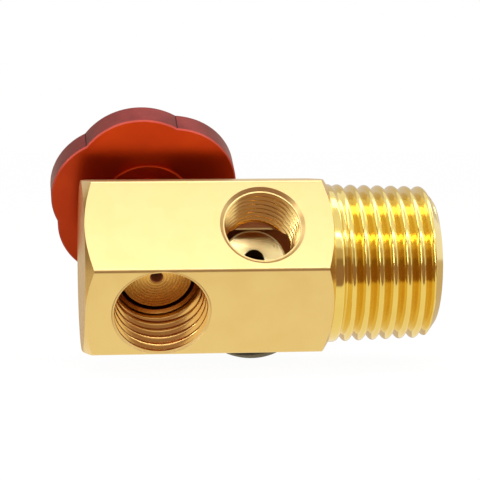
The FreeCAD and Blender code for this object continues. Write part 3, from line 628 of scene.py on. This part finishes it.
def radial_lines(net, place):
    """Fine milling lines across the rim and fine turning rings on the faces."""
    moved = net.node("ShaderNodeVectorMath", {"operation": "SUBTRACT"}, {0: place, 1: (HOSE_X, 0, 0)})
    numbers = [net.node("ShaderNodeVectorMath", {"operation": "DOT_PRODUCT"}, {0: moved, 1: tuple(axis)},
                        output="Value")
               for axis in ((1, 0, 0), np.cross(REAR_UPPER, (1, 0, 0)), REAR_UPPER)]
    radius = (numbers[0] * numbers[0] + numbers[1] * numbers[1]).math("SQRT")
    rings = net.node("ShaderNodeTexNoise", {"noise_dimensions": "1D"}, {
        "W": radius, "Scale": 7.0, "Detail": 2.0})
    rims = net.node("ShaderNodeTexNoise", {"noise_dimensions": "1D"}, {
        "W": numbers[2], "Scale": 5.0, "Detail": 2.0})
    on_rim = numbers[2].band(KNOB_NEAR + 0.25, KNOB_TOP - 0.3, 0.05)
    return rings * (1.0 - on_rim) + rims * on_rim


red_anodised = metal("red_anodised", (0.50, 0.052, 0.011), (0.46, 0.044, 0.010), 0.34, radial_lines, 0.004,
                     0.08, 0.1)
# A darker copy of the red anodise on the milled rim: painted shade.
shaded_red_rim = metal("shaded_red_rim", (0.28, 0.038, 0.032), (0.17, 0.018, 0.016), 0.40, radial_lines, 0.016, 0.1, 0.1)
# A paler pink copy of the red anodise on the near chamfer: a painted highlight along the near edge.
highlight_red_edge = metal("highlight_red_edge", (0.56, 0.10, 0.075), (0.50, 0.08, 0.06), 0.45)
# Near-black red for the V notches between lobes: painted shade in the creases.
shaded_red_notch = metal("shaded_red_notch", (0.06, 0.006, 0.006), (0.04, 0.004, 0.004), 0.5)


def knob_radius(angle):
    """The far side of the nearest of six circles whose centres stand off the knob's axis."""
    off = (angle - math.radians(KNOB_TURN) + math.pi / 6) % (math.pi / 3) - math.pi / 6
    return LOBE_OUT * np.cos(off) + np.sqrt(LOBE_RADIUS ** 2 - (LOBE_OUT * np.sin(off)) ** 2)


lobe_steps = np.sort(np.concatenate([np.arange(48) * 1.25, [0.4, 59.6]]))
lobe_angles = np.radians(KNOB_TURN - 30 + (np.arange(6)[:, None] * 60 + lobe_steps).ravel())
lobe_edge = knob_radius(lobe_angles)
count = len(lobe_angles)
plain = np.ones(count)
knob_rings = [
    (plain * STEM_HOLE, HUB_FACE), (plain * (HUB_RADIUS - 0.15), HUB_FACE),
    (plain * HUB_RADIUS, HUB_FACE + 0.08), (plain * HUB_RADIUS, KNOB_NEAR),
    (lobe_edge - NEAR_BEVEL, KNOB_NEAR), (lobe_edge, KNOB_NEAR + NEAR_BEVEL),
    (lobe_edge, KNOB_TOP - FAR_BEVEL), (lobe_edge - FAR_BEVEL, KNOB_TOP), (plain * (POCKET + 0.3), KNOB_TOP),
    (plain * POCKET, KNOB_TOP - 0.3), (plain * POCKET, POCKET_FLOOR), (plain * STEM_HOLE, POCKET_FLOOR)]
points = np.stack([np.stack([r * np.cos(lobe_angles), r * np.sin(lobe_angles), np.full(count, h)], -1)
                   for r, h in knob_rings])
# Band marks: 0 the red anodise, 1 the rim's painted-shade copy, 2 the near chamfer's painted-highlight copy.
marks = np.repeat([0, 0, 0, 0, 2, 1, 1, 0, 0, 0, 0, 0], count)
in_lobe = np.arange(count) % (count // 6)
# The rim faces at each notch take the near-black notch red: painted shade in the crease.
marks[5 * count:6 * count][(in_lobe == 0) | (in_lobe == count // 6 - 1)] = 3
knob = put("knob", set_along(points, HOSE_X, REAR_UPPER).reshape(-1, 3),
           [grid_faces(len(knob_rings), count, True)], [red_anodised, shaded_red_rim, highlight_red_edge, shaded_red_notch],
           "stem", marks, sharp=21.0)
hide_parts("valve_knob")


# ---------------------------------------------------------------- relief valve body
# Turned from small hexagonal brass and screwed in from the lower rear face. Its nose crosses the tank
# bore, faced at a slight tilt, and its inlet is the hole seen down the gauge port.
RELIEF_SEAT, RELIEF_ROUND, RELIEF_FLATS, NOSE_TILT = HALF + 1.6, 128, 12.0, 0.035

small_brass = metal("small_brass", (0.86, 0.65, 0.27), (0.82, 0.60, 0.23), 0.20,
                    ring_lines((GAUGE_X, 0, 0), tuple(REAR_LOWER), 0.30, 0.5), 0.0003, 0.04)
# Paler, cream brass on the nose face: painted light where the nose sits deep in the gauge port.
lit_nose_brass = metal("lit_nose_brass", (0.97, 0.82, 0.42), (0.93, 0.76, 0.36), 0.17, cloud=0.04)


def hexagon_head(flats, low, high):
    """A hexagonal head as points, side faces and the fans of its ends. Its outer end is turned off,
    and at its inner end the circle lies beyond the corners, so nothing is cut there."""
    shape = hexagon_outline(flats, 0.15, 9, 3)
    solid = hexagon_solid(shape, low, high, flats, flats / 2 - 0.02, math.tan(math.pi / 6))
    n = len(shape)
    middle = np.array([[0, 0, low], [0, 0, high]], float)
    fans = np.stack([np.r_[np.full(n, 4 * n), np.full(n, 4 * n + 1)],
                     np.r_[(np.arange(n) + 1) % n, 3 * n + np.arange(n)],
                     np.r_[np.arange(n), 3 * n + (np.arange(n) + 1) % n]], 1)
    return np.concatenate([solid.reshape(-1, 3), middle]), grid_faces(4, n), fans


head, head_sides, head_ends = hexagon_head(RELIEF_FLATS, RELIEF_SEAT, RELIEF_SEAT + 2.3)
shank = lathed([
    (1.35, -1.376), (3.93, -1.376), (4.04, -1.4), (4.13, -1.4), (4.2, -1.34), (4.2, 4.9), (4.45, 5.1),
    (4.45, RELIEF_SEAT + 0.1), (3.0, RELIEF_SEAT + 0.1), (3.0, 6.6), (2.0, 6.6), (2.0, 7.0), (1.35, 7.0)],
    0, RELIEF_ROUND, True)
neck = lathed([
    (3.0, RELIEF_SEAT + 0.1), (4.6, RELIEF_SEAT + 0.1), (4.6, 17.1), (4.5, 17.32), (4.3, 17.4), (3.0, 17.4)],
    0, RELIEF_ROUND, True)
points, faces, marks = gather([(head, head_sides, 0), (head, head_ends, 0), shank, neck])
# The nose face takes the paler nose brass, painted light, and its rim ring the pale edge brass, a painted
# highlight.
shank_start, nose_marks = len(head_sides) + len(head_ends), np.repeat([1, 2, 2, 1], RELIEF_ROUND)
marks[shank_start:shank_start + len(nose_marks)] = nose_marks
points[:, 2] += np.where(points[:, 2] < -1, points[:, 1] * NOSE_TILT, 0.0)
relief_body = put("relief_body", set_along(points, GAUGE_X, REAR_LOWER), faces,
                  [small_brass, lit_nose_brass, highlight_edge_brass], "manifold", marks)
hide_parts("relief_body")


# ---------------------------------------------------------------- relief gasket and washer
# A black rubber disc lies between the bar and a plated steel washer, and the relief valve's head
# clamps both. The washer sits as far to the right as its clearance lets it.
WASHER_OFF = 0.7

zinc_plate = metal("zinc_plate", (0.23, 0.235, 0.215), (0.18, 0.185, 0.17), 0.38, None, 0.004, 0.2)


def rubber_material():
    """Black nitrile rubber: matt, with a fine moulded grain and a trace of bloom."""
    net = new_net("nitrile_rubber")
    place = net.node("ShaderNodeTexCoord", output="Object")
    grain = net.node("ShaderNodeTexNoise", None, {"Vector": place, "Scale": 9000.0, "Detail": 3.0})
    bloom = net.node("ShaderNodeTexNoise", None, {"Vector": place, "Scale": 700.0, "Detail": 3.0})
    colour = net.mixed(bloom.step(0.4, 0.7), (0.020, 0.020, 0.020, 1.0), (0.045, 0.043, 0.040, 1.0))
    net.feed(net.shader.inputs["Base Color"], colour)
    net.feed(net.shader.inputs["Roughness"], 0.55 + grain * 0.25)
    bump = net.node("ShaderNodeBump", None, {"Distance": 0.00001, "Height": grain})
    net.feed(net.shader.inputs["Normal"], bump)
    return net.material


rubber = rubber_material()


def disc(node, profile, centre_x, material):
    """A flat ring turned from a profile, which stands for its CAD node."""
    points, faces, marks = gather([lathed(profile, closed=True)])
    piece = put(node, set_along(points, centre_x, REAR_LOWER), faces, [material], "manifold", marks)
    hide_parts(node)


# The gasket reaches out nearly to the washer's rim: a real gasket within, and beyond it a black sheet that
# puts painted shade on the washer's near face.
disc("relief_gasket", [
    (4.55, HALF), (7.95, HALF), (8.0, HALF + 0.05), (8.0, HALF + 0.55), (7.95, HALF + 0.6),
    (4.55, HALF + 0.6)], GAUGE_X, rubber)
disc("relief_washer", [
    (5.2, HALF + 0.6), (7.85, HALF + 0.6), (8.0, HALF + 0.66), (8.05, HALF + 0.82),
    (8.05, HALF + 1.38), (8.0, HALF + 1.54), (7.85, HALF + 1.6), (5.2, HALF + 1.6)],
    GAUGE_X + WASHER_OFF, zinc_plate)


# ---------------------------------------------------------------- relief spring
# Round steel wire in four and a half turns between the poppet's shoulder and the adjuster.
SPRING_LOW, SPRING_HIGH, SPRING_WIRE, SPRING_RADIUS, SPRING_TURNS = 8.84, 14.58, 0.35, 2.1, 4.5

bright_steel = metal("bright_steel", (0.56, 0.56, 0.55), (0.46, 0.46, 0.45), 0.25, None, 0.002, 0.1)


def coil(low, high, turns, radius, wire, steps=36, around=12):
    """A right-handed coil of round wire with flat ends, in a frame whose third number runs along it:
    the wire's round section is carried along a helix and stays in a plane through its axis."""
    count = int(turns * steps) + 1
    turned = (np.arange(count) * (2 * math.pi / steps))[:, None]
    section = np.arange(around) * (2 * math.pi / around)
    out = radius + wire * np.sin(section)
    height = np.linspace(low + wire, high - wire, count)[:, None] + wire * np.cos(section)
    points = np.stack([out * np.cos(turned), out * np.sin(turned), height], -1).reshape(-1, 3)
    ends = [np.arange(around)[None, ::-1], ((count - 1) * around + np.arange(around))[None, :]]
    return points, [grid_faces(count, around), *ends]


points, faces = coil(SPRING_LOW, SPRING_HIGH, SPRING_TURNS, SPRING_RADIUS, SPRING_WIRE)
spring = put("relief_coil", set_along(points, GAUGE_X, REAR_LOWER), faces, [bright_steel], "manifold")
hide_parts("relief_spring")
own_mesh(spring)


# ---------------------------------------------------------------- small pieces
# The solids of the stem, bonnet, screw and the other relief insides have the right shapes and only
# need their finishes.
stem_brass = metal("stem_brass", (0.84, 0.62, 0.24), (0.76, 0.52, 0.18), 0.24,
                   ring_lines((HOSE_X, 0, 0), tuple(REAR_UPPER), 0.25, 0.5), 0.004)
finishes = {
    "valve_bonnet": stem_brass, "seat_holder": stem_brass, "valve_stem": stem_brass,
    "relief_poppet": small_brass, "relief_adjuster": small_brass,
    "knob_lock_washer": bright_steel, "knob_screw": bright_steel,
    "bonnet_washer": rubber, "seat_disc": rubber, "stem_ring": rubber, "poppet_seal": rubber}
for node, material in finishes.items():
    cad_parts[node].material_slots[0].material = material
